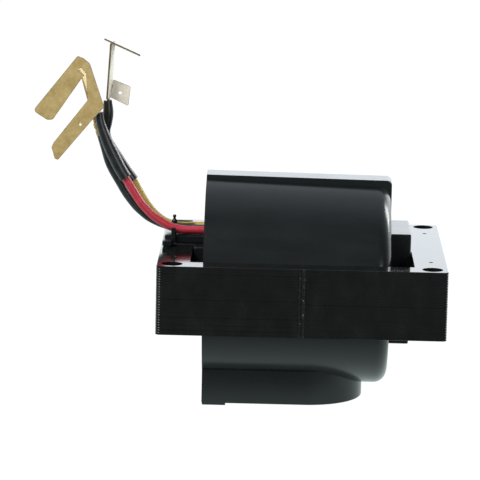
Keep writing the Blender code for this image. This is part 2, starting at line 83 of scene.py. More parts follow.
# Housing
CUP_LEFT, CUP_RIGHT = -26.8 * MM, 24.1 * MM
CUP_R_LEFT, CUP_R_RIGHT = 28.5 * MM, 27.9 * MM
CUP_DROP = 0.65 * MM
CUP_WALL, CUP_FILLET = 2.0 * MM, 3.6 * MM
LAND_RIGHT = 24.35 * MM
LAND_Y, LAND_TOP, LAND_FALL = 4.4 * MM, 29.3 * MM, 0.6 * MM
SKIRT_R, SKIRT_CORNER, SKIRT_BOTTOM = 17.5 * MM, 16.0 * MM, -32.2 * MM
SKIRT_LEDGE = -22.7 * MM
FOOT_X = 6.6 * MM
WELL_R, WELL_TOP = 7.5 * MM, -29.0 * MM
TUNNEL_WALL, TUNNEL_CLEAR = 1.5 * MM, 0.5 * MM
COLLAR_X, COLLAR_Y = CORE_HIGH.x - YOKE - 0.3 * MM, 11.1 * MM  # how far the end collars reach
COLLAR_TOP, COLLAR_BOTTOM = 15.0 * MM, -15.7 * MM
CHEEK_Y, CHEEK_BOTTOM = CENTRE_LEG / 2 + 0.6 * MM, -10.0 * MM
POTTING_FACE = -25.9 * MM

# Light: how brightly the floor and the room glow, in front of the coil and elsewhere, and their tints
FLOOR_TINT, ROOM_TINT = (0.84, 1.0, 0.98), (0.94, 1.0, 1.05)
FRONT_GLOW, UNDER_GLOW = 0.12, 1.0
FRONT_ROOM, HIGH_ROOM, BACK_ROOM = 0.12, 0.7, 2.25

# Free leads
LEAD_D = 2.25 * MM
SHEET = 0.5 * MM


# ---------------------------------------------------------------- materials

def shader_material(name, colour, roughness, metallic=0.0, **sockets):
    mat = bpy.data.materials.new(name)
    mat.use_nodes = True
    tree = mat.node_tree
    shader = tree.nodes["Principled BSDF"]
    shader.inputs["Base Color"].default_value = (*colour, 1)
    shader.inputs["Roughness"].default_value = roughness
    shader.inputs["Metallic"].default_value = metallic
    for socket, value in sockets.items():
        shader.inputs[socket.replace("_", " ")].default_value = value
    return mat, tree, shader


def node(tree, kind, inputs=None, **settings):
    made = tree.nodes.new(kind)
    for key, value in settings.items():
        setattr(made, key, value)
    for key, value in (inputs or {}).items():
        if isinstance(value, bpy.types.NodeSocket):
            tree.links.new(value, made.inputs[key])
        else:
            made.inputs[key].default_value = value
    return made


def place(tree, scale=(1, 1, 1)):
    """Object coordinates in millimetres, stretched by scale."""
    coordinates = node(tree, "ShaderNodeTexCoord")
    return node(tree, "ShaderNodeMapping", {
        "Vector": coordinates.outputs["Object"], "Scale": [1000 * s for s in scale],
    }).outputs["Vector"]


def noise_of(tree, vector, scale, detail=3.0, roughness=0.55):
    return node(tree, "ShaderNodeTexNoise", {
        "Vector": vector, "Scale": scale, "Detail": detail, "Roughness": roughness,
    }).outputs["Fac"]


def ramp(tree, factor, stops):
    made = node(tree, "ShaderNodeValToRGB", {"Fac": factor})
    elements = made.color_ramp.elements
    while len(elements) < len(stops):
        elements.new(0.5)
    for element, (position, colour) in zip(elements, stops):
        element.position = position
        element.color = (*colour, 1) if len(colour) == 3 else colour
    return made.outputs["Color"]


def grey(value):
    return (value, value, value)


def spread(tree, factor, low, high):
    """A 0 to 1 factor mapped to run from low to high."""
    made = node(tree, "ShaderNodeMapRange", {"Value": factor, "To Min": low, "To Max": high})
    return made.outputs["Result"]


def bump(tree, shader, height, strength, distance):
    made = node(tree, "ShaderNodeBump", {"Height": height, "Strength": strength, "Distance": distance})
    tree.links.new(made.outputs["Normal"], shader.inputs["Normal"])
    return made


def plastic_material():
    """Satin black moulding with a faint grain and flow mottling."""
    mat, tree, shader = shader_material(
        "housing_plastic", (0.008, 0.0095, 0.01), 0.22, Specular_IOR_Level=0.32)
    flow = noise_of(tree, place(tree, (0.35, 1, 1)), 0.16, 4)
    tree.links.new(ramp(tree, flow, [
        (0.3, (0.0065, 0.008, 0.0086)), (0.7, (0.0095, 0.0115, 0.0124)),
    ]), shader.inputs["Base Color"])
    grain = noise_of(tree, place(tree), 5.5, 2)
    tree.links.new(spread(tree, flow, 0.18, 0.27), shader.inputs["Roughness"])
    bump(tree, shader, grain, 0.12, 0.015 * MM)
    return mat


def steel_material():
    """Black varnished sheet steel, with thin and thick patches of varnish."""
    mat, tree, shader = shader_material(
        "core_varnish", (0.0065, 0.0075, 0.0073), 0.14, Specular_IOR_Level=0.32)
    patches = noise_of(tree, place(tree, (1, 1, 0.6)), 0.22, 5)
    tree.links.new(ramp(tree, patches, [
        (0.25, (0.0045, 0.0052, 0.005)), (0.55, (0.007, 0.008, 0.0078)), (0.8, (0.011, 0.0125, 0.0125)),
    ]), shader.inputs["Base Color"])
    specks = noise_of(tree, place(tree), 3.2, 3)
    tree.links.new(spread(tree, patches, 0.05, 0.12), shader.inputs["Roughness"])
    bump(tree, shader, specks, 0.08, 0.012 * MM)
    return mat


def potting_material():
    mat, tree, shader = shader_material("potting_epoxy", (0.01, 0.0105, 0.011), 0.22)
    ripples = noise_of(tree, place(tree), 0.35, 3)
    pits = noise_of(tree, place(tree), 2.6, 2)
    shallow_pits = spread(tree, pits, 0, 0.25)
    both = node(tree, "ShaderNodeMath", {0: ripples, 1: shallow_pits}, operation="ADD").outputs[0]
    tree.links.new(spread(tree, ripples, 0.14, 0.34), shader.inputs["Roughness"])
    tree.links.new(ramp(tree, ripples, [(0.3, grey(0.007)), (0.7, grey(0.014))]), shader.inputs["Base Color"])
    bump(tree, shader, both, 0.35, 0.15 * MM)
    return mat


def sheet_metal_material(name, shades, roughness, metallic):
    """Dull rolled sheet with fine rolling lines and stains; a much darker copy of it paints the shade on the
    cut edges.
    """
    dark, middle, light = shades
    mat, tree, shader = shader_material(name, middle, roughness, metallic)
    stains = noise_of(tree, place(tree), 0.3, 6, 0.65)
    freckles = noise_of(tree, place(tree), 1.6, 4, 0.7)
    both = node(tree, "ShaderNodeMix", {"Factor": 0.4, "A": stains, "B": freckles}).outputs["Result"]
    tree.links.new(ramp(tree, both, [(0.32, dark), (0.5, middle), (0.68, light)]),
                   shader.inputs["Base Color"])
    lines = noise_of(tree, place(tree, (2.2, 2.2, 0.25)), 2.4, 2)
    tree.links.new(spread(tree, both, roughness - 0.06, roughness + 0.12), shader.inputs["Roughness"])
    bump(tree, shader, lines, 0.2, 0.012 * MM)
    return mat


def pvc_material(name, dark, light, roughness=0.4):
    """Extruded wire insulation with a slight shade change and fine scuffs."""
    mat, tree, shader = shader_material(name, light, roughness, Specular_IOR_Level=0.4)
    shade = noise_of(tree, place(tree), 0.45, 4)
    tree.links.new(ramp(tree, shade, [(0.3, dark), (0.7, light)]), shader.inputs["Base Color"])
    scuffs = noise_of(tree, place(tree), 3.5, 3)
    tree.links.new(spread(tree, scuffs, roughness - 0.08, roughness + 0.12), shader.inputs["Roughness"])
    bump(tree, shader, scuffs, 0.2, 0.03 * MM)
    return mat


def winding_material():
    """Enamelled copper wire: rings of turns round the X axis."""
    mat, tree, shader = shader_material("magnet_wire", (0.45, 0.15, 0.06), 0.3, 0.9)
    turns = node(tree, "ShaderNodeTexWave", {
        "Vector": place(tree), "Scale": 1.1, "Distortion": 0.6, "Detail": 1.0,
    }, bands_direction="X").outputs["Fac"]
    tree.links.new(ramp(tree, turns, [(0.0, (0.16, 0.04, 0.015)), (0.7, (0.5, 0.17, 0.07))]),
                   shader.inputs["Base Color"])
    bump(tree, shader, turns, 0.6, 0.1 * MM)
    return mat


def nylon_material():
    mat, tree, shader = shader_material("bobbin_nylon", (0.72, 0.68, 0.56), 0.45)
    shade = noise_of(tree, place(tree), 0.3, 3)
    tree.links.new(ramp(tree, shade, [(0.3, (0.64, 0.6, 0.48)), (0.7, (0.76, 0.73, 0.62))]),
                   shader.inputs["Base Color"])
    bump(tree, shader, noise_of(tree, place(tree), 4, 2), 0.15, 0.03 * MM)
    return mat


def paper_material():
    mat, tree, shader = shader_material("fish_paper", (0.33, 0.25, 0.14), 0.75)
    fibres = noise_of(tree, place(tree, (1, 4, 1)), 1.5, 5)
    tree.links.new(ramp(tree, fibres, [(0.3, (0.24, 0.18, 0.1)), (0.7, (0.38, 0.3, 0.18))]),
                   shader.inputs["Base Color"])
    bump(tree, shader, fibres, 0.4, 0.05 * MM)
    return mat


def weld_material():
    """Weld metal under black varnish, with a bare spot here and there."""
    mat, tree, shader = shader_material("weld_bead", grey(0.01), 0.25, Specular_IOR_Level=0.32)
    ripples = node(tree, "ShaderNodeTexWave", {
        "Vector": place(tree), "Scale": 0.55, "Distortion": 2.0, "Detail": 2.0,
    }, bands_direction="Z").outputs["Fac"]
    spots = noise_of(tree, place(tree), 0.9, 2)
    tree.links.new(ramp(tree, spots, [(0.3, grey(0.006)), (0.66, grey(0.012)), (0.74, grey(0.2))]),
                   shader.inputs["Base Color"])
    bump(tree, shader, ripples, 0.15, 0.05 * MM)
    return mat


# ---------------------------------------------------------------- mesh helpers

def finished(bm, name):
    mesh = bpy.data.meshes.new(name)
    bmesh.ops.recalc_face_normals(bm, faces=bm.faces)
    bm.to_mesh(mesh)
    bm.free()
    return mesh


def raised(mesh, drop=0.0):
    """Moves a mesh up from the core's middle height, its right end lower by drop."""
    for vertex in mesh.vertices:
        along = (vertex.co.x - CUP_LEFT) / (CUP_RIGHT - CUP_LEFT)
        vertex.co.z += AXIS_Z - drop * along
    return mesh


def box_mesh(low, high, name="box"):
    low, high = Vector(low), Vector(high)
    bm = bmesh.new()
    bmesh.ops.create_cube(bm, size=1)
    bmesh.ops.scale(bm, vec=high - low, verts=bm.verts)
    bmesh.ops.translate(bm, vec=(low + high) / 2, verts=bm.verts)
    return finished(bm, name)


def soft_box(low, high, radius, name="box", steps=3):
    """A box with rounded edges."""
    low, high = Vector(low), Vector(high)
    bm = bmesh.new()
    bmesh.ops.create_cube(bm, size=1)
    bmesh.ops.scale(bm, vec=high - low, verts=bm.verts)
    bmesh.ops.translate(bm, vec=(low + high) / 2, verts=bm.verts)
    bmesh.ops.bevel(bm, geom=bm.edges[:], offset=radius, segments=steps, profile=0.5, affect="EDGES")
    return finished(bm, name)


AXIS_TURN = {
    "Z": Matrix(), "X": Matrix.Rotation(math.pi / 2, 4, "Y"), "Y": Matrix.Rotation(-math.pi / 2, 4, "X"),
}


def cylinder_mesh(centre, radius, length, axis="Z", sides=64, name="cylinder"):
    bm = bmesh.new()
    bmesh.ops.create_cone(bm, cap_ends=True, segments=sides, depth=length, radius1=radius, radius2=radius)
    bmesh.ops.transform(bm, matrix=Matrix.Translation(centre) @ AXIS_TURN[axis], verts=bm.verts)
    return finished(bm, name)


def turned_mesh(profile, axis="Z", steps=96, name="turned"):
    """A profile of (along, radius) points turned about an axis, from one end on the axis to the other."""
    bm = bmesh.new()
    rings = []
    for along, radius in profile:
        if radius < 1e-7:
            rings.append([bm.verts.new((0, 0, along))])
            continue
        angles = [2 * math.pi * k / steps for k in range(steps)]
        rings.append([bm.verts.new((radius * math.cos(a), radius * math.sin(a), along)) for a in angles])
    for a, b in zip(rings, rings[1:]):
        for k in range(steps):
            n = (k + 1) % steps
            corners = [a[k % len(a)], a[n % len(a)], b[n % len(b)], b[k % len(b)]]
            face = list(dict.fromkeys(corners))
            if len(face) > 2:
                bm.faces.new(face)
    bmesh.ops.transform(bm, matrix=AXIS_TURN[axis], verts=bm.verts)
    return finished(bm, name)


def rounded(corners, steps=8):
    """An outline through (x, y, radius) corners, with an arc at each corner that has a radius."""
    points = []
    count = len(corners)
    for i, (x, y, radius) in enumerate(corners):
        corner = Vector((x, y))
        if not radius:
            points.append(corner)
            continue
        before = (Vector(corners[i - 1][:2]) - corner).normalized()
        after = (Vector(corners[(i + 1) % count][:2]) - corner).normalized()
        half = before.angle(after) / 2
        centre = corner + (before + after).normalized() * radius / math.sin(half)
        start = corner + before * radius / math.tan(half) - centre
        sweep = start.angle_signed(corner + after * radius / math.tan(half) - centre)
        points += [centre + Matrix.Rotation(-sweep * k / steps, 2) @ start for k in range(steps + 1)]
    return [p for p, q in zip(points, points[1:] + points[:1]) if (p - q).length > 1e-7]


def inset(points, distance):
    """A closed counter-clockwise outline moved inwards by a distance."""
    moved = []
    for i, point in enumerate(points):
        before = (point - points[i - 1]).normalized()
        after = (points[(i + 1) % len(points)] - point).normalized()
        middle = (before + after).normalized()
        inward = Vector((-middle.y, middle.x))
        lean = max(0.35, inward.dot(Vector((-after.y, after.x))))
        moved.append(point + inward * distance / lean)
    return moved


def stacked_mesh(levels, name="stacked"):
    """A solid skinned through outlines of equal length, each (points, height)."""
    bm = bmesh.new()
    rings = [[bm.verts.new((p.x, p.y, z)) for p in points] for points, z in levels]
    for a, b in zip(rings, rings[1:]):
        for k in range(len(a)):
            n = (k + 1) % len(a)
            bm.faces.new((a[k], a[n], b[n], b[k]))
    bm.faces.new(reversed(rings[0]))
    bm.faces.new(rings[-1])
    return finished(bm, name)


def plate_mesh(corners, thickness, edge, matrix=None, steps=5, name="plate"):
    """A flat stamping: an outline in millimetres with its two faces' edges rounded over."""
    outline = rounded([(x * MM, y * MM, r * MM) for x, y, r in corners], steps)
    half = thickness / 2
    face, shoulder = inset(outline, edge), inset(outline, 0.3 * edge)
    levels = [
        (face, -half), (shoulder, -half + 0.3 * edge), (outline, -half + edge),
        (outline, half - edge), (shoulder, half - 0.3 * edge), (face, half),
    ]
    mesh = stacked_mesh(levels, name)
    if matrix:
        mesh.transform(matrix)
    return mesh


def boolean(obj, mesh, operation):
    """Cuts a mesh from an object, or joins it, and applies the result."""
    other = bpy.data.objects.new("tool", mesh)
    bpy.context.scene.collection.objects.link(other)
    mod = obj.modifiers.new("boolean", "BOOLEAN")
    mod.operation, mod.object, mod.solver = operation, other, "EXACT"
    apply_modifiers(obj)
    bpy.data.objects.remove(other)


def apply_modifiers(obj):
    bpy.context.view_layer.update()
    graph = bpy.context.evaluated_depsgraph_get()
    mesh = bpy.data.meshes.new_from_object(obj.evaluated_get(graph))
    bm = bmesh.new()
    bm.from_mesh(mesh)
    bmesh.ops.remove_doubles(bm, verts=bm.verts, dist=MERGE)
    bmesh.ops.dissolve_degenerate(bm, edges=bm.edges, dist=MERGE)
    bm.to_mesh(mesh)
    bm.free()
    obj.modifiers.clear()
    old = obj.data
    obj.data = mesh
    bpy.data.meshes.remove(old)


def piece(name, mesh, mat, slot, *nodes, sharp=38):
    """A visible piece on the coil's body, which may stand for CAD nodes."""
    obj = bpy.data.objects.new(name, mesh)
    bpy.context.scene.collection.objects.link(obj)
    dress(obj, mat, slot, *nodes, sharp=sharp)
    return obj


def dress(obj, mat, slot, *nodes, sharp=38):
    obj.data.materials.clear()
    obj.data.materials.append(mat)
    if obj.type == "MESH":
        obj.data.shade_smooth()
        obj.data.set_sharp_from_angle(angle=math.radians(sharp))
        weighted = obj.modifiers.new("weighted", "WEIGHTED_NORMAL")
        weighted.keep_sharp = True
    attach(obj, ROOT)
    if nodes:
        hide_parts(*nodes)


def loose(name, mesh):
    """An object that is still being shaped."""
    obj = bpy.data.objects.new(name, mesh)
    bpy.context.scene.collection.objects.link(obj)
    return obj


# ---------------------------------------------------------------- core

def stack_outline(side):
    """The E outline of one stack, counter-clockwise, with a shallow seat for each weld."""
    x, y = CORE_HIGH.x, CORE_HIGH.y
    seam, gap, r = 0.12 * MM, 0.8 * MM, 0.35 * MM
    inner, leg = x - YOKE, CENTRE_LEG / 2
    seat, deep = y - BEAD_SEAT, y - SEAM_DEPTH
    corners = [
        (x, -y, CORE_CORNER), (x, y, CORE_CORNER),
        (BEAD_HALF, y, 0), (BEAD_HALF, seat, 0), (SEAM_HALF, seat, 0),
        (seam, deep, 0), (seam, y - OUTER_LEG, 0.2 * MM), (inner, y - OUTER_LEG, r), (inner, leg, r),
        (gap, leg, 0.2 * MM), (gap, -leg, 0.2 * MM), (inner, -leg, r), (inner, OUTER_LEG - y, r),
        (seam, OUTER_LEG - y, 0.2 * MM), (seam, -deep, 0), (SEAM_HALF, -seat, 0), (BEAD_HALF, -seat, 0),
        (BEAD_HALF, -y, 0),
    ]
    return rounded([(side * px, side * py, radius) for px, py, radius in corners], 7)


def core_stack(name, node_name, side, mat):
    """Stamped sheets, each with a rounded edge, a touch out of line with its neighbours."""
    outline = stack_outline(side)
    chance = random.Random(9 + side)
    pitch = CORE_H / SHEETS
    face, shoulder = inset(outline, EDGE_ROLL), inset(outline, 0.3 * EDGE_ROLL)
    levels = [(face, CORE_LOW.z), (shoulder, CORE_LOW.z + 0.3 * EDGE_ROLL)]
    for k in range(SHEETS):
        low = CORE_LOW.z + k * pitch
        slip = 0.02 * MM * chance.random()
        sheet_line = inset(outline, slip)
        levels.append((sheet_line, low + 0.15 * pitch if k else low + EDGE_ROLL))
        levels.append((sheet_line, low + 0.85 * pitch if k < SHEETS - 1 else low + pitch - EDGE_ROLL))
        if k < SHEETS - 1:
            levels.append((inset(outline, SHEET_GROOVE + slip), low + pitch))
    levels += [(shoulder, CORE_HIGH.z - 0.3 * EDGE_ROLL), (face, CORE_HIGH.z)]
    stack = loose(name, stacked_mesh(levels, name))
    for end in (-1, 1):
        x, y = side * HOLE_X, end * HOLE_Y
        boolean(stack, cylinder_mesh((x, y, AXIS_Z), HOLE_R, 3 * CORE_H), "DIFFERENCE")
        dimple = turned_mesh([
            (-0.45 * MM, 0), (-0.4 * MM, 0.45 * MM), (0.4 * MM, 0.75 * MM), (0.4 * MM, 0),
        ], steps=24)
        dimple.transform(Matrix.Translation((x, y - end * DIMPLE_INWARD, CORE_HIGH.z)))
        boolean(stack, dimple, "DIFFERENCE")
    dress(stack, mat, "core_steel", node_name, sharp=12)


def seam_weld(name, node_name, side, mat):
    """A flat run of weld down the seam, with a hairline crack that wanders and a small blob at each end."""
    steps = 90
    wander = Vector((3.1 * side, 1.7, 0.4))
    bm = bmesh.new()
    rings = []
    for k in range(steps + 1):
        t = k / steps
        z = CORE_LOW.z + 0.1 * MM + t * (CORE_H - 0.2 * MM)
        end = math.exp(-(min(t, 1 - t) / 0.025) ** 2)
        half = BEAD_HALF - 0.08 * MM + 0.05 * MM * noise.noise(wander + Vector((0, 0, 30 * t)))
        face = BEAD_SEAT - (0.07 + 0.03 * noise.noise(wander + Vector((5, 0, 50 * t)))) * MM - 0.03 * MM * end
        crack = (0.15 + 0.25 * (t - 0.4) + 0.12 * noise.noise(wander + Vector((0, 8, 9 * t)))) * MM
        slit = 0.09 * MM
        section = [
            (-half, BEAD_SEAT - 0.01 * MM), (-0.8 * half, face), (crack - 0.3 * MM, face),
            (crack - slit, face + 0.02 * MM), (crack, 0.4 * MM), (crack + slit, face + 0.02 * MM),
            (crack + 0.2 * MM, face), (0.8 * half, face),
            (half, BEAD_SEAT - 0.01 * MM), (0.09 * MM, 0.5 * MM), (-0.09 * MM, 0.5 * MM),
        ]
        rings.append([bm.verts.new((side * x, side * (CORE_HIGH.y - depth), z)) for x, depth in section])
    for a, b in zip(rings, rings[1:]):
        for s in range(len(a)):
            n = (s + 1) % len(a)
            bm.faces.new((a[s], a[n], b[n], b[s]))
    bm.faces.new(reversed(rings[0]))
    bm.faces.new(rings[-1])
    piece(name, finished(bm, name), mat, "weld", node_name, sharp=40)


# ---------------------------------------------------------------- housing

def cup_profile(wall, steps=12):
    """The cup's outline from its left rim to its axis at the right end, set in by a wall."""
    left, right = CUP_R_LEFT - wall, CUP_R_RIGHT - wall
    end, fillet = CUP_RIGHT - wall, CUP_FILLET - 0.5 * wall
    start = CUP_LEFT - (2 * MM if wall else 0)
    arc = [math.radians(90 * k / steps) for k in range(steps + 1)]
    points = [(start, 0), (start, left)]
    points += [(end - fillet + fillet * math.sin(a), right - fillet + fillet * math.cos(a)) for a in arc]
    return points + [(end, 0)]


def at_axis(low, high, radius=0.0):
    """A box whose heights count from the core's middle."""
    return raised(soft_box(low, high, radius) if radius else box_mesh(low, high))


def land_mesh():
    """The raised land along the top of the cup, with rounded edges."""
    top, fall, r = LAND_TOP, LAND_FALL, 0.25 * MM
    outline = rounded([
        (CUP_LEFT, 20 * MM, 0), (LAND_RIGHT, 20 * MM, 0), (LAND_RIGHT, top - fall, 1.3 * MM),
        (CUP_LEFT, top, 0.3 * MM),
    ], 8)
    levels = []
    for k in range(5):
        a = math.radians(90 * k / 4)
        levels.append((inset(outline, r * (1 - math.sin(a))), -LAND_Y + r * (1 - math.cos(a))))
    levels += [(points, -y) for points, y in reversed(levels)]
    mesh = stacked_mesh(levels)
    mesh.transform(Matrix.Rotation(math.pi / 2, 4, "X"))
    return raised(mesh)


def skirt_mesh():
    """The skirt under the cup, with a fine ledge at its top, and round at the right but for a small flat."""
    left = CUP_LEFT + 0.03 * MM  # just inside the cup's rim
    outline = rounded([
        (left, -SKIRT_R, 0), (SKIRT_R, -SKIRT_R, SKIRT_CORNER),
        (SKIRT_R, SKIRT_R, SKIRT_CORNER), (left, SKIRT_R, 0),
    ], 32)
    r = 0.3 * MM
    levels = []
    for k in range(4):
        a = math.radians(90 * k / 3)
        levels.append((inset(outline, r * (1 - math.sin(a))), SKIRT_BOTTOM + r * (1 - math.cos(a))))
    ledge = 0.14 * MM
    levels += [(outline, SKIRT_LEDGE - 0.5 * ledge), (inset(outline, 0.4 * ledge), SKIRT_LEDGE - 0.1 * ledge),
               (inset(outline, ledge), SKIRT_LEDGE), (inset(outline, ledge), -18 * MM)]
    return raised(stacked_mesh(levels))


def left_cheeks(cup):
    """The left collar: a cheek on each side of the centre leg, the back one low enough for the wire guide."""
    root_y, root_z = (CHEEK_Y + 0.2 * MM, CHEEK_Y + 1.2 * MM), 9.0 * MM
    for side, top in ((-1, 10.0 * MM), (1, CORE_H / 2)):
        low_y, high_y = sorted((side * CHEEK_Y, side * COLLAR_Y))
        boolean(cup, at_axis(
            (-COLLAR_X, low_y, CHEEK_BOTTOM), (CUP_LEFT - 0.15 * MM, high_y, top), 0.25 * MM), "UNION")
        low_y, high_y = sorted(side * y for y in root_y)
        boolean(cup, at_axis(
            (CUP_LEFT - MM, low_y, -root_z), (CUP_LEFT + 1.5 * MM, high_y, root_z)), "UNION")


def housing(mat):
    cup = loose("housing_shell", raised(turned_mesh(cup_profile(0), "X", 256), CUP_DROP))
    boolean(cup, land_mesh(), "UNION")
    boolean(cup, skirt_mesh(), "UNION")
    inner_y = SKIRT_R - 0.15 * MM
    foot = (CUP_LEFT + 0.15 * MM, -inner_y, -AXIS_Z), (CUP_LEFT + FOOT_X, inner_y, SKIRT_BOTTOM + MM)
    boolean(cup, at_axis(*foot, 0.2 * MM), "UNION")
    collar = (CUP_RIGHT - MM, -COLLAR_Y, COLLAR_BOTTOM), (COLLAR_X, COLLAR_Y, COLLAR_TOP)
    boolean(cup, at_axis(*collar, 0.4 * MM), "UNION")
    boolean(cup, raised(turned_mesh(cup_profile(CUP_WALL), "X", 128), CUP_DROP), "DIFFERENCE")
    wide, high = CENTRE_LEG / 2 + TUNNEL_CLEAR, CORE_H / 2 + TUNNEL_CLEAR
    outer_wide, outer_high = wide + TUNNEL_WALL, high + TUNNEL_WALL
    boolean(cup, at_axis(
        (CUP_LEFT + MM, -outer_wide, -outer_high), (CUP_RIGHT - MM, outer_wide, outer_high)), "UNION")
    boolean(cup, at_axis((-40 * MM, -wide, -high), (40 * MM, wide, high)), "DIFFERENCE")
    left_cheeks(cup)
    well = turned_mesh([
        (-34 * MM, 0), (-34 * MM, WELL_R + 0.4 * MM), (SKIRT_BOTTOM - 0.01 * MM, WELL_R + 0.4 * MM),
        (SKIRT_BOTTOM + 0.4 * MM, WELL_R), (WELL_TOP - 0.3 * MM, WELL_R),
        (WELL_TOP, WELL_R - 0.3 * MM), (WELL_TOP, 0),
    ])
    boolean(cup, raised(well), "DIFFERENCE")
    boolean(cup, raised(cylinder_mesh((0, 0, WELL_TOP), 1.9 * MM, 10 * MM)), "DIFFERENCE")
    dress(cup, mat, "housing_plastic", "coil_housing", sharp=35)
    return cup


def potting(mat):
    """The cured resin at the open end: low in the middle, drawn up at the wall, the tunnel and the leads."""
    radius = CUP_R_LEFT - CUP_WALL - 0.05 * MM
    steps, rings = 160, 40
    bm = bmesh.new()
    wide = CENTRE_LEG / 2 + TUNNEL_CLEAR + TUNNEL_WALL + 0.02 * MM
    high = CORE_H / 2 + TUNNEL_CLEAR + TUNNEL_WALL + 0.02 * MM
    starts = (RED_LEAD[0], BLACK_LEAD[0], YELLOW_LEAD[0])
    lead_places = [Vector((0, y * MM, z * MM)) for _, y, z in starts]
    grid = []
    for i in range(rings + 1):
        share = i / rings
        ring = []
        for k in range(steps):
            angle = 2 * math.pi * k / steps
            c, s = math.cos(angle), math.sin(angle)
            box = min(wide / max(abs(c), 1e-6), high / max(abs(s), 1e-6))
            reach = box + share * (radius - box)
            p = Vector((0, reach * c, reach * s))
            rise = 0.35 * math.exp(-(radius - reach) / (0.7 * MM))
            rise += 0.3 * math.exp(-(reach - box) / (0.6 * MM))
            for lead_place in lead_places:
                rise += 0.55 * math.exp(-max(0.0, (p - lead_place).length - LEAD_D / 2) / (0.45 * MM))
            rise += 0.12 * noise.noise(p * 160) + 0.03 * noise.noise(p * 700)
            ring.append(bm.verts.new((POTTING_FACE + 0.35 * MM - min(rise, 1.0) * MM, p.y, p.z)))
        grid.append(ring)
    back = [bm.verts.new((POTTING_FACE + 3.6 * MM, v.co.y, v.co.z)) for v in grid[-1]]
    core = [bm.verts.new((POTTING_FACE + 3.6 * MM, v.co.y, v.co.z)) for v in grid[0]]
    for a, b in zip([*grid, back, core], [*grid[1:], back, core, grid[0]]):
        for k in range(steps):
            n = (k + 1) % steps
            bm.faces.new((a[k], a[n], b[n], b[k]))
    bmesh.ops.remove_doubles(bm, verts=bm.verts, dist=1e-7)
    piece("potting_fill", raised(finished(bm, "potting_fill")), mat, "potting", "potting_resin", sharp=60)


def guide(mat):
    """The moulded wire guide on the left yoke: tongue, step, post with a knob, holding arm and front tab."""
    low = CORE_H / 2 + 0.3 * MM
    body = loose("lead_guide", at_axis(
        (-38.2 * MM, -3.2 * MM, low), (-26.4 * MM, 8.5 * MM, 11.85 * MM), 0.3 * MM))
    blocks = [
        ((-38.6 * MM, -8.4 * MM, low), (-36.0 * MM, 1.0 * MM, 11.2 * MM), 0.3 * MM),
        ((-36.3 * MM, -4.6 * MM, low + 0.1 * MM), (-35.1 * MM, -1.5 * MM, 11.7 * MM), 0.2 * MM),
        ((-36.3 * MM, -4.6 * MM, 11.0 * MM), (-35.1 * MM, -3.9 * MM, 14.2 * MM), 0.15 * MM),
    ]
    for a, b, radius in blocks:
        boolean(body, at_axis(a, b, radius), "UNION")
    post_x, post_y = -35.7 * MM, 2.45 * MM
    post = turned_mesh([
        (10.93 * MM, 0), (10.93 * MM, 0.5 * MM), (14.2 * MM, 0.48 * MM),
        (14.4 * MM, 0.75 * MM), (14.6 * MM, 0.82 * MM), (15.1 * MM, 0.68 * MM),
        (15.6 * MM, 0.36 * MM), (15.85 * MM, 0.34 * MM), (16.1 * MM, 0.48 * MM),
        (16.4 * MM, 0.52 * MM), (16.65 * MM, 0.36 * MM), (16.75 * MM, 0),
    ], steps=30)
    post.transform(Matrix.Translation((post_x, post_y, 0)) @ Matrix.Rotation(0.05, 4, "Z"))
    boolean(body, raised(post), "UNION")
    arm = plate_mesh([(0, -0.4, 0), (5.1, -0.4, 0.35), (5.1, 0.6, 0.35), (0, 0.6, 0)], 0.38 * MM, 0.1 * MM,
                     Matrix.Translation((post_x, post_y, 15 * MM)))
    boolean(body, raised(arm), "UNION")
    dress(body, mat, "housing_plastic", "wire_guide", sharp=40)


# ---------------------------------------------------------------- contact

def contact(mat):
    """The turned button under the core's middle, with its stem."""
    low, high = SKIRT_BOTTOM + 1.2 * MM, WELL_TOP - 0.3 * MM
    profile = [
        (low, 0), (low, 1.2 * MM), (low + 0.12 * MM, 1.5 * MM), (low + 0.12 * MM, 3.7 * MM),
        (low + 0.25 * MM, 4.05 * MM), (low + 0.5 * MM, 4.2 * MM),
        (high - 0.2 * MM, 4.2 * MM), (high, 4.0 * MM),
        (high, 1.5 * MM), (-26.8 * MM, 1.5 * MM), (-26.65 * MM, 1.3 * MM), (-26.6 * MM, 0),
    ]
    mesh = raised(turned_mesh(profile, steps=72))
    piece("contact_button", mesh, mat, "brass", "high_tension_contact")


# ---------------------------------------------------------------- leads

RED_LEAD = [
    (-26.2, -2.2, 13.3), (-29.8, -2.2, 13.3), (-32.3, -2.2, 13.3), (-34.8, -2.2, 13.6), (-37.3, -2.3, 14.4),
    (-39.8, -2.4, 15.9), (-42.0, -2.5, 17.5), (-45.1, -2.65, 20.9), (-47.2, -2.75, 24.2), (-49.1, -2.8, 27.3),
]
RED_SLEEVE = [
    (-49.3, -2.8, 27.7, 3.3), (-50.9, -2.8, 30.3, 3.4), (-52.6, -2.8, 33.6, 3.4), (-54.2, -2.8, 36.9, 3.2),
    (-55.5, -2.8, 40.2, 2.8), (-56.4, -2.75, 43.0, 2.4), (-56.8, -2.7, 45.7, 2.2),
]
YELLOW_LEAD = [
    (-26.2, 4.4, 13.3), (-30.0, 4.4, 13.3), (-32.5, 4.4, 13.2), (-35.0, 4.4, 13.3), (-37.0, 4.3, 13.8),
    (-38.7, 4.1, 14.6), (-40.4, 3.9, 15.8), (-41.9, 3.7, 17.3), (-43.4, 3.5, 19.2), (-45.5, 3.2, 22.6),
    (-47.2, 3.0, 25.7),
]
YELLOW_SLEEVE = [
    (-47.4, 3.0, 26.0, 3.1), (-49.4, 3.0, 28.6, 3.2), (-51.6, 3.0, 31.8, 3.3), (-53.5, 3.0, 34.8, 3.1),
    (-54.7, 3.0, 37.1, 2.7), (-55.2, 3.0, 39.6, 2.5), (-54.9, 2.95, 42.2, 2.9), (-54.6, 2.9, 45.0, 2.9),
    (-54.8, 2.8, 48.3, 2.3),
]
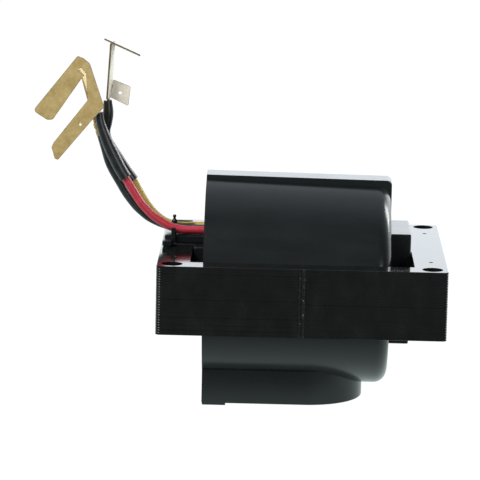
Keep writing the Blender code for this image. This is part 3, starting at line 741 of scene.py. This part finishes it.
BLACK_LEAD = [
    (-26.2, 0.4, 13.2), (-29.9, 0.4, 13.2), (-32.4, 0.4, 13.2), (-35.2, 0.4, 13.4), (-38.2, 0.3, 14.1),
    (-40.6, 0.25, 15.0), (-42.9, 0.2, 16.2), (-44.8, 0.2, 17.7), (-46.6, 0.2, 19.4), (-49.1, 0.2, 22.6),
    (-51.1, 0.2, 25.9), (-53.0, 0.2, 29.1), (-54.2, 0.2, 31.7), (-55.2, 0.2, 35.1), (-56.2, 0.2, 38.4),
]


def route(points, spacing):
    """Points about a spacing apart on a smooth curve through a route's own points (Catmull-Rom)."""
    points = [Vector(p) * MM for p in points]
    ends = [2 * points[0] - points[1], *points, 2 * points[-1] - points[-2]]
    line = [points[0]]
    for a, b, c, d in zip(ends, ends[1:], ends[2:], ends[3:]):
        steps = max(1, round((c - b).length / spacing))
        for k in range(1, steps + 1):
            t = k / steps
            line.append(0.5 * (2 * b + (c - a) * t + (2 * a - 5 * b + 4 * c - d) * t**2
                               + (3 * b - a - 3 * c + d) * t**3))
    for p in line:
        p.z += AXIS_Z
    return line


def lead(name, line, mat, slot, node_name):
    """A round lead as one smooth curve through (x, y, z, diameter) points."""
    curve = bpy.data.curves.new(name, "CURVE")
    curve.dimensions, curve.bevel_depth, curve.bevel_resolution = "3D", LEAD_D / 2, 6
    curve.use_fill_caps = True
    spline = curve.splines.new("POLY")
    spline.points.add(len(line) - 1)
    for point, (x, y, z, diameter) in zip(spline.points, line):
        point.co = (x, y, z, 1)
        point.radius = diameter / LEAD_D
    spline.use_smooth = True
    obj = bpy.data.objects.new(name, curve)
    bpy.context.scene.collection.objects.link(obj)
    dress(obj, mat, slot, node_name)
    return obj


def frames_along(line):
    """A tangent and two normals at each point of a line, turning as little as they can."""
    normal = Vector((0, 1, 0))
    frames = []
    for i, p in enumerate(line):
        tangent = (line[min(i + 1, len(line) - 1)] - line[max(i - 1, 0)]).normalized()
        normal = (normal - tangent * normal.dot(tangent)).normalized()
        frames.append((p, normal, tangent.cross(normal)))
    return frames


def sleeve_mesh(line, seed, name):
    """Heat-shrunk tubing along (x, y, z, diameter) points, slightly uneven, its mouths rolled."""
    sides = 36
    frames = frames_along([p.xyz for p in line])
    count = len(frames)
    bm = bmesh.new()
    rings = []
    for i, (p, across, up) in enumerate(frames):
        t = i / (count - 1)
        swell = 1 + 0.04 * math.exp(-(t / 0.03) ** 2) + 0.02 * noise.noise(Vector((seed, 9 * t, 0)))
        ring = []
        for s in range(sides):
            angle = 2 * math.pi * s / sides
            around = Vector((seed + 2 * math.cos(angle), 2 * math.sin(angle), 14 * t))
            r = 0.5 * line[i].w * (swell + 0.015 * noise.noise(around))
            ring.append(bm.verts.new(p + across * r * math.cos(angle) + up * r * math.sin(angle)))
        rings.append(ring)
    mouths = []
    for end, step in ((0, 2), (count - 1, -2)):
        p, deep = frames[end][0], frames[end + step][0]
        lip = [bm.verts.new(p + (v.co - p) * 0.8) for v in rings[end]]
        throat = [bm.verts.new(deep + (v.co - p) * 0.76) for v in rings[end]]
        mouths.append((lip, throat))
    (first_lip, first_throat), (last_lip, last_throat) = mouths
    order = [first_throat, first_lip, *rings, last_lip, last_throat]
    for a, b in zip(order, order[1:]):
        for s in range(sides):
            n = (s + 1) % sides
            bm.faces.new((a[s], a[n], b[n], b[s]))
    bm.faces.new(order[0])
    bm.faces.new(reversed(order[-1]))
    return finished(bm, name)


# ---------------------------------------------------------------- terminals

def sheet_matrix(origin, across, up):
    """Places a flat outline so that its x runs along across and its y along up."""
    across = Vector(across).normalized()
    normal = across.cross(Vector(up)).normalized()
    turn = Matrix((across, normal.cross(across), normal)).transposed().to_4x4()
    return Matrix.Translation(Vector(origin) * MM) @ turn


def sheet(corners, matrix, thickness=SHEET, steps=5):
    return raised(plate_mesh(corners, thickness, 0.09 * MM, matrix, steps))


def paint_edge_shade(obj, edge, *flats):
    """Gives a stamping's cut edges, which face along none of its flats, a second material: a darker copy that
    paints shade on them.
    """
    obj.data.materials.append(edge)
    for face in obj.data.polygons:
        if max(abs(face.normal.dot(flat)) for flat in flats) < 0.995:
            face.material_index = 1


def battery_terminal(mat, edge):
    """Flat two-bladed stamping on the red lead."""
    corners = [
        (-62.8, 61.4, 0.6), (-74.9, 46.0, 1.0), (-71.0, 43.5, 1.2), (-69.4, 43.6, 1.0), (-60.9, 56.2, 0.2),
        (-62.6, 57.6, 0.2), (-61.9, 58.2, 0.2), (-60.4, 56.6, 0.2), (-59.9, 49.2, 0.3), (-69.1, 37.3, 0.8),
        (-69.7, 35.9, 0.4), (-68.8, 32.8, 0.4), (-67.9, 32.4, 0.4), (-58.5, 43.8, 0.1), (-55.3, 47.4, 0.2),
        (-59.4, 59.4, 0.8), (-61.2, 60.8, 0.5),
    ]
    corners = corners[::-1] if clockwise(corners) else corners
    matrix = sheet_matrix((0, -4.4, 0), (1, 0, 0), (0, 0, 1))
    terminal = loose("battery_blades", sheet(corners, matrix, steps=3))
    dimple = cylinder_mesh((-61.8 * MM, -4.4 * MM, 42.4 * MM), 0.35 * MM, 2 * MM, "Y", 24)
    boolean(terminal, raised(dimple), "DIFFERENCE")
    dress(terminal, mat, "brass", "battery_terminal", sharp=30)
    paint_edge_shade(terminal, edge, matrix.col[2].xyz)
    return terminal


def clockwise(corners):
    area = sum(a[0] * b[1] - b[0] * a[1] for a, b in zip(corners, corners[1:] + corners[:1]))
    return area < 0


def tachometer_terminal(mat, edge):
    """Stamping on the yellow lead: a strip on its edge, a square tab facing the front and a bent-over top."""
    lean = (0.06, 0, 1)
    places = (
        sheet_matrix((-54.9, 0.4, 48.9), (0.16, 1, 0), lean),
        sheet_matrix((-53.6, 5.2, 48.4), (1, 0, 0), lean),
        sheet_matrix((-53.6, 3.0, 64.2), (0.917, 0, -0.4), (0, 0.983, -0.185)),
    )
    upright = [
        (1.5, -1.6, 0.1), (3.3, -1.6, 0.1), (3.3, 0, 0.1), (5.0, 0, 0.2), (5.0, 15.6, 0.2), (0, 15.6, 0.2),
        (0, 0, 0.2), (1.5, 0, 0.1),
    ]
    tab = [(-0.6, 0.4, 0.1), (4.4, -1.9, 0.3), (5.0, 3.5, 0.5), (0.2, 5.4, 0.1)]
    top = [(-2.6, -2.4, 0.5), (8.3, -2.4, 0.5), (8.3, 2.4, 0.5), (-2.6, 2.4, 0.5)]
    strip = loose("tachometer_blades", sheet(upright, places[0]))
    boolean(strip, sheet(tab, places[1]), "UNION")
    boolean(strip, sheet(top, places[2], 0.4 * MM), "UNION")
    hole = cylinder_mesh((-51.5 * MM, 5.2 * MM, 50.1 * MM), 0.45 * MM, 3 * MM, "Y", 24)
    boolean(strip, raised(hole), "DIFFERENCE")
    dress(strip, mat, "brass", "tachometer_terminal", sharp=30)
    paint_edge_shade(strip, edge, *(place.col[2].xyz for place in places))
    return strip


def ground_terminal(mat):
    """Stamping on the black lead: a crimped barrel and a narrow blade that stands on its edge."""
    low, high = Vector((-56.4, 0.2, 38.9)) * MM, Vector((-57.5, 0.2, 42.4)) * MM
    long = (high - low).length
    barrel = turned_mesh([
        (-long / 2, 0), (-long / 2, 1.05 * MM), (-long / 2 + 0.15 * MM, 1.2 * MM),
        (-0.5 * MM, 1.22 * MM), (-0.3 * MM, 1.05 * MM), (0.3 * MM, 1.05 * MM), (0.5 * MM, 1.22 * MM),
        (long / 2 - 0.15 * MM, 1.2 * MM), (long / 2, 1.05 * MM), (long / 2, 0),
    ], steps=36)
    turn = (high - low).to_track_quat("Z", "Y").to_matrix().to_4x4()
    barrel.transform(Matrix.Translation((low + high) / 2) @ turn)
    terminal = loose("ground_blade", raised(barrel))
    blade = [(-1.3, -1.6, 0.2), (1.7, -1.6, 0.2), (1.7, 15.6, 0.8), (-1.3, 15.6, 0.8)]
    matrix = sheet_matrix((-57.8, 0.6, 42.6), (0.34, 0.94, 0), (-0.34, 0, 1))
    boolean(terminal, sheet(blade, matrix), "UNION")
    dress(terminal, mat, "brass", "ground_terminal", sharp=30)
    return terminal


def covered(points):
    """A sleeve's route as the wire inside it, which is no thicker than its insulation."""
    return [(x, y, z, min(LEAD_D / MM, 0.85 * diameter)) for x, y, z, diameter in points]


def leads(mats):
    """The three leads with what is on them, each a curve from the potting to its terminal."""
    brass = mats["brass"]
    wires = {
        "red": (RED_LEAD, RED_SLEEVE, mats["red"], battery_terminal(brass, mats["edge"])),
        "yellow": (YELLOW_LEAD, YELLOW_SLEEVE, mats["yellow"],
                   tachometer_terminal(mats["tinned"], mats["edge"])),
        "black": ([*BLACK_LEAD, (-56.5, 0.2, 39.4)], [], mats["black"], ground_terminal(brass)),
    }
    for colour, (points, sleeve, mat, terminal) in wires.items():
        bare = [(*point, LEAD_D / MM) for point in points]
        line = route(bare + covered(sleeve[1:]), 0.5 * MM)
        wire = lead(f"{colour}_wire", line, mat, f"{colour}_insulation", f"{colour}_lead")
        if sleeve:
            name = f"{colour}_shrink_sleeve"
            mesh = sleeve_mesh(route(sleeve, 0.5 * MM), len(colour), name)
            piece(name, mesh, mats["sleeve"], "black_sleeve", f"{colour}_sleeve", sharp=60)


# ---------------------------------------------------------------- inner parts kept from the CAD

def inner_parts(mats):
    kept = {
        "air_gap_spacer": "paper", "primary_bobbin": "nylon", "secondary_bobbin": "nylon",
        "primary_winding": "winding", "secondary_winding": "winding", "high_tension_link": "brass",
    }
    for name, key in kept.items():
        data = frame["nodes"][name].data
        data.materials.clear()
        data.materials.append(mats[key])


# ---------------------------------------------------------------- studio

def camera():
    azimuth, elevation, roll = (math.radians(a) for a in (CAM_AZIMUTH, CAM_ELEVATION, CAM_ROLL))
    back = Vector((math.sin(azimuth) * math.cos(elevation), -math.cos(azimuth) * math.cos(elevation),
                   math.sin(elevation)))
    right = (-back).cross(Vector((0, 0, 1))).normalized()
    up = right.cross(-back)
    across = right * math.cos(roll) + up * math.sin(roll)
    over = up * math.cos(roll) - right * math.sin(roll)
    data = bpy.data.cameras.new("camera")
    data.lens, data.sensor_width, data.clip_start, data.clip_end = CAM_LENS, CAM_SENSOR, 0.05, 20
    obj = bpy.data.objects.new("camera", data)
    turn = Matrix((across, over, back)).transposed().to_4x4()
    obj.matrix_world = Matrix.Translation(CAM_AIM + back * CAM_DISTANCE) @ turn
    bpy.context.scene.collection.objects.link(obj)
    bpy.context.scene.camera = obj


def area_light(name, place_at, aim, size, power, colour=(1, 1, 1)):
    data = bpy.data.lights.new(name, "AREA")
    data.shape, data.size, data.size_y, data.energy, data.color = "RECTANGLE", *size, power, colour
    obj = bpy.data.objects.new(name, data)
    direction = Vector(aim) - Vector(place_at)
    obj.matrix_world = Matrix.Translation(place_at) @ direction.to_track_quat("-Z", "Y").to_matrix().to_4x4()
    bpy.context.scene.collection.objects.link(obj)


def tinted(tree, tint, brightness):
    made = node(tree, "ShaderNodeVectorMath", {0: tint, "Scale": brightness}, operation="SCALE")
    return made.outputs["Vector"]


def seen_or_lighting(tree, lighting):
    """White where the camera looks straight at a surface, and a colour for the light it gives the coil."""
    path = node(tree, "ShaderNodeLightPath")
    mix = node(tree, "ShaderNodeMix", {"Factor": path.outputs["Is Camera Ray"]}, data_type="RGBA")
    first, second = (socket for socket in mix.inputs if socket.type == "RGBA")
    tree.links.new(lighting, first)
    second.default_value = (1, 1, 1, 1)
    return next(socket for socket in mix.outputs if socket.type == "RGBA")


def floor():
    """A white floor that glows, so that shadows stay faint, and is dimmer in front of the coil."""
    bm = bmesh.new()
    bmesh.ops.create_circle(bm, cap_ends=True, segments=96, radius=6)
    obj = bpy.data.objects.new("floor", finished(bm, "floor"))
    bpy.context.scene.collection.objects.link(obj)
    mat, tree, shader = shader_material(
        "floor_white", grey(0.04), 0.8, Specular_IOR_Level=0.0, Emission_Strength=1.0)
    depth = node(tree, "ShaderNodeSeparateXYZ", {"Vector": place(tree)}).outputs["Y"]
    glow = node(tree, "ShaderNodeMapRange", {
        "Value": depth, "From Min": -60.0, "From Max": -15.0, "To Min": FRONT_GLOW, "To Max": UNDER_GLOW,
    }, interpolation_type="SMOOTHSTEP").outputs["Result"]
    tree.links.new(seen_or_lighting(tree, tinted(tree, FLOOR_TINT, glow)), shader.inputs["Emission Color"])
    obj.data.materials.append(mat)


def world():
    """A white room: bright behind and overhead, dim on the camera's side."""
    made = bpy.data.worlds.new("room")
    bpy.context.scene.world = made
    made.use_nodes = True
    tree = made.node_tree
    background = tree.nodes["Background"]
    direction = node(tree, "ShaderNodeTexCoord").outputs["Generated"]
    parts = node(tree, "ShaderNodeSeparateXYZ", {"Vector": direction}).outputs
    overhead = node(tree, "ShaderNodeMapRange", {
        "Value": parts["Y"], "From Min": -0.35, "From Max": 0.45, "To Min": FRONT_ROOM, "To Max": HIGH_ROOM,
    }, interpolation_type="SMOOTHSTEP").outputs["Result"]
    wall = node(tree, "ShaderNodeMapRange", {
        "Value": parts["Z"], "From Min": 0.28, "From Max": 0.5, "To Min": BACK_ROOM, "To Max": HIGH_ROOM,
    }, interpolation_type="SMOOTHSTEP").outputs["Result"]
    behind = node(tree, "ShaderNodeMapRange", {"Value": parts["Y"], "From Min": 0.2, "From Max": 0.6},
                  interpolation_type="SMOOTHSTEP").outputs["Result"]
    light = node(tree, "ShaderNodeMix", {"Factor": behind, "A": overhead, "B": wall}).outputs["Result"]
    tree.links.new(seen_or_lighting(tree, tinted(tree, ROOM_TINT, light)), background.inputs["Color"])


def studio():
    camera()
    floor()
    world()
    centre = (-20 * MM, 0, AXIS_Z)
    area_light("key_softbox", (-0.5, -0.6, 0.8), centre, (0.5, 0.5), 12.0)
    area_light("fill", (0.45, -0.85, 0.25), centre, (0.5, 0.5), 3.0)
    area_light("right_strip", (0.73, 0.55, 0.5), centre, (0.2, 0.5), 5.0)
    area_light("left_strip", (-0.9, -0.25, 0.35), centre, (0.2, 0.8), 2.5)
    scene = bpy.context.scene
    scene.view_settings.view_transform = "Standard"
    scene.view_settings.look = "None"
    scene.view_settings.exposure = 0.0


def main():
    studio()
    mats = {
        "plastic": plastic_material(), "steel": steel_material(), "potting": potting_material(),
        "brass": sheet_metal_material("brass_sheet", (
            (0.36, 0.25, 0.085), (0.5, 0.37, 0.15), (0.6, 0.47, 0.22)), 0.42, 0.3),
        "tinned": sheet_metal_material("tinned_sheet", (
            (0.76, 0.69, 0.56), (0.86, 0.8, 0.68), (0.94, 0.89, 0.79)), 0.4, 0.05),
        # the cut edges' colour: brass darkened to paint the shade that falls on them
        "edge": sheet_metal_material("sheet_edge_painted_shade", (
            (0.07, 0.045, 0.025), (0.15, 0.1, 0.05), (0.26, 0.19, 0.1)), 0.4, 0.4),
        "weld": weld_material(), "winding": winding_material(),
        "nylon": nylon_material(), "paper": paper_material(),
        "red": pvc_material("red_pvc", (0.36, 0.018, 0.035), (0.47, 0.03, 0.055)),
        "yellow": pvc_material("yellow_pvc", (0.42, 0.29, 0.06), (0.55, 0.4, 0.1)),
        "black": pvc_material("black_pvc", (0.012, 0.014, 0.016), (0.022, 0.025, 0.028), 0.35),
        "sleeve": pvc_material("shrink_tube", (0.008, 0.009, 0.01), (0.016, 0.018, 0.02), 0.3),
    }
    core_stack("core_left_sheets", "core_left_stack", -1, mats["steel"])
    core_stack("core_right_sheets", "core_right_stack", 1, mats["steel"])
    seam_weld("front_weld_bead", "front_seam_weld", -1, mats["weld"])
    seam_weld("rear_weld_bead", "rear_seam_weld", 1, mats["weld"])
    housing(mats["plastic"])
    potting(mats["potting"])
    guide(mats["plastic"])
    contact(mats["brass"])
    leads(mats)
    inner_parts(mats)


main()
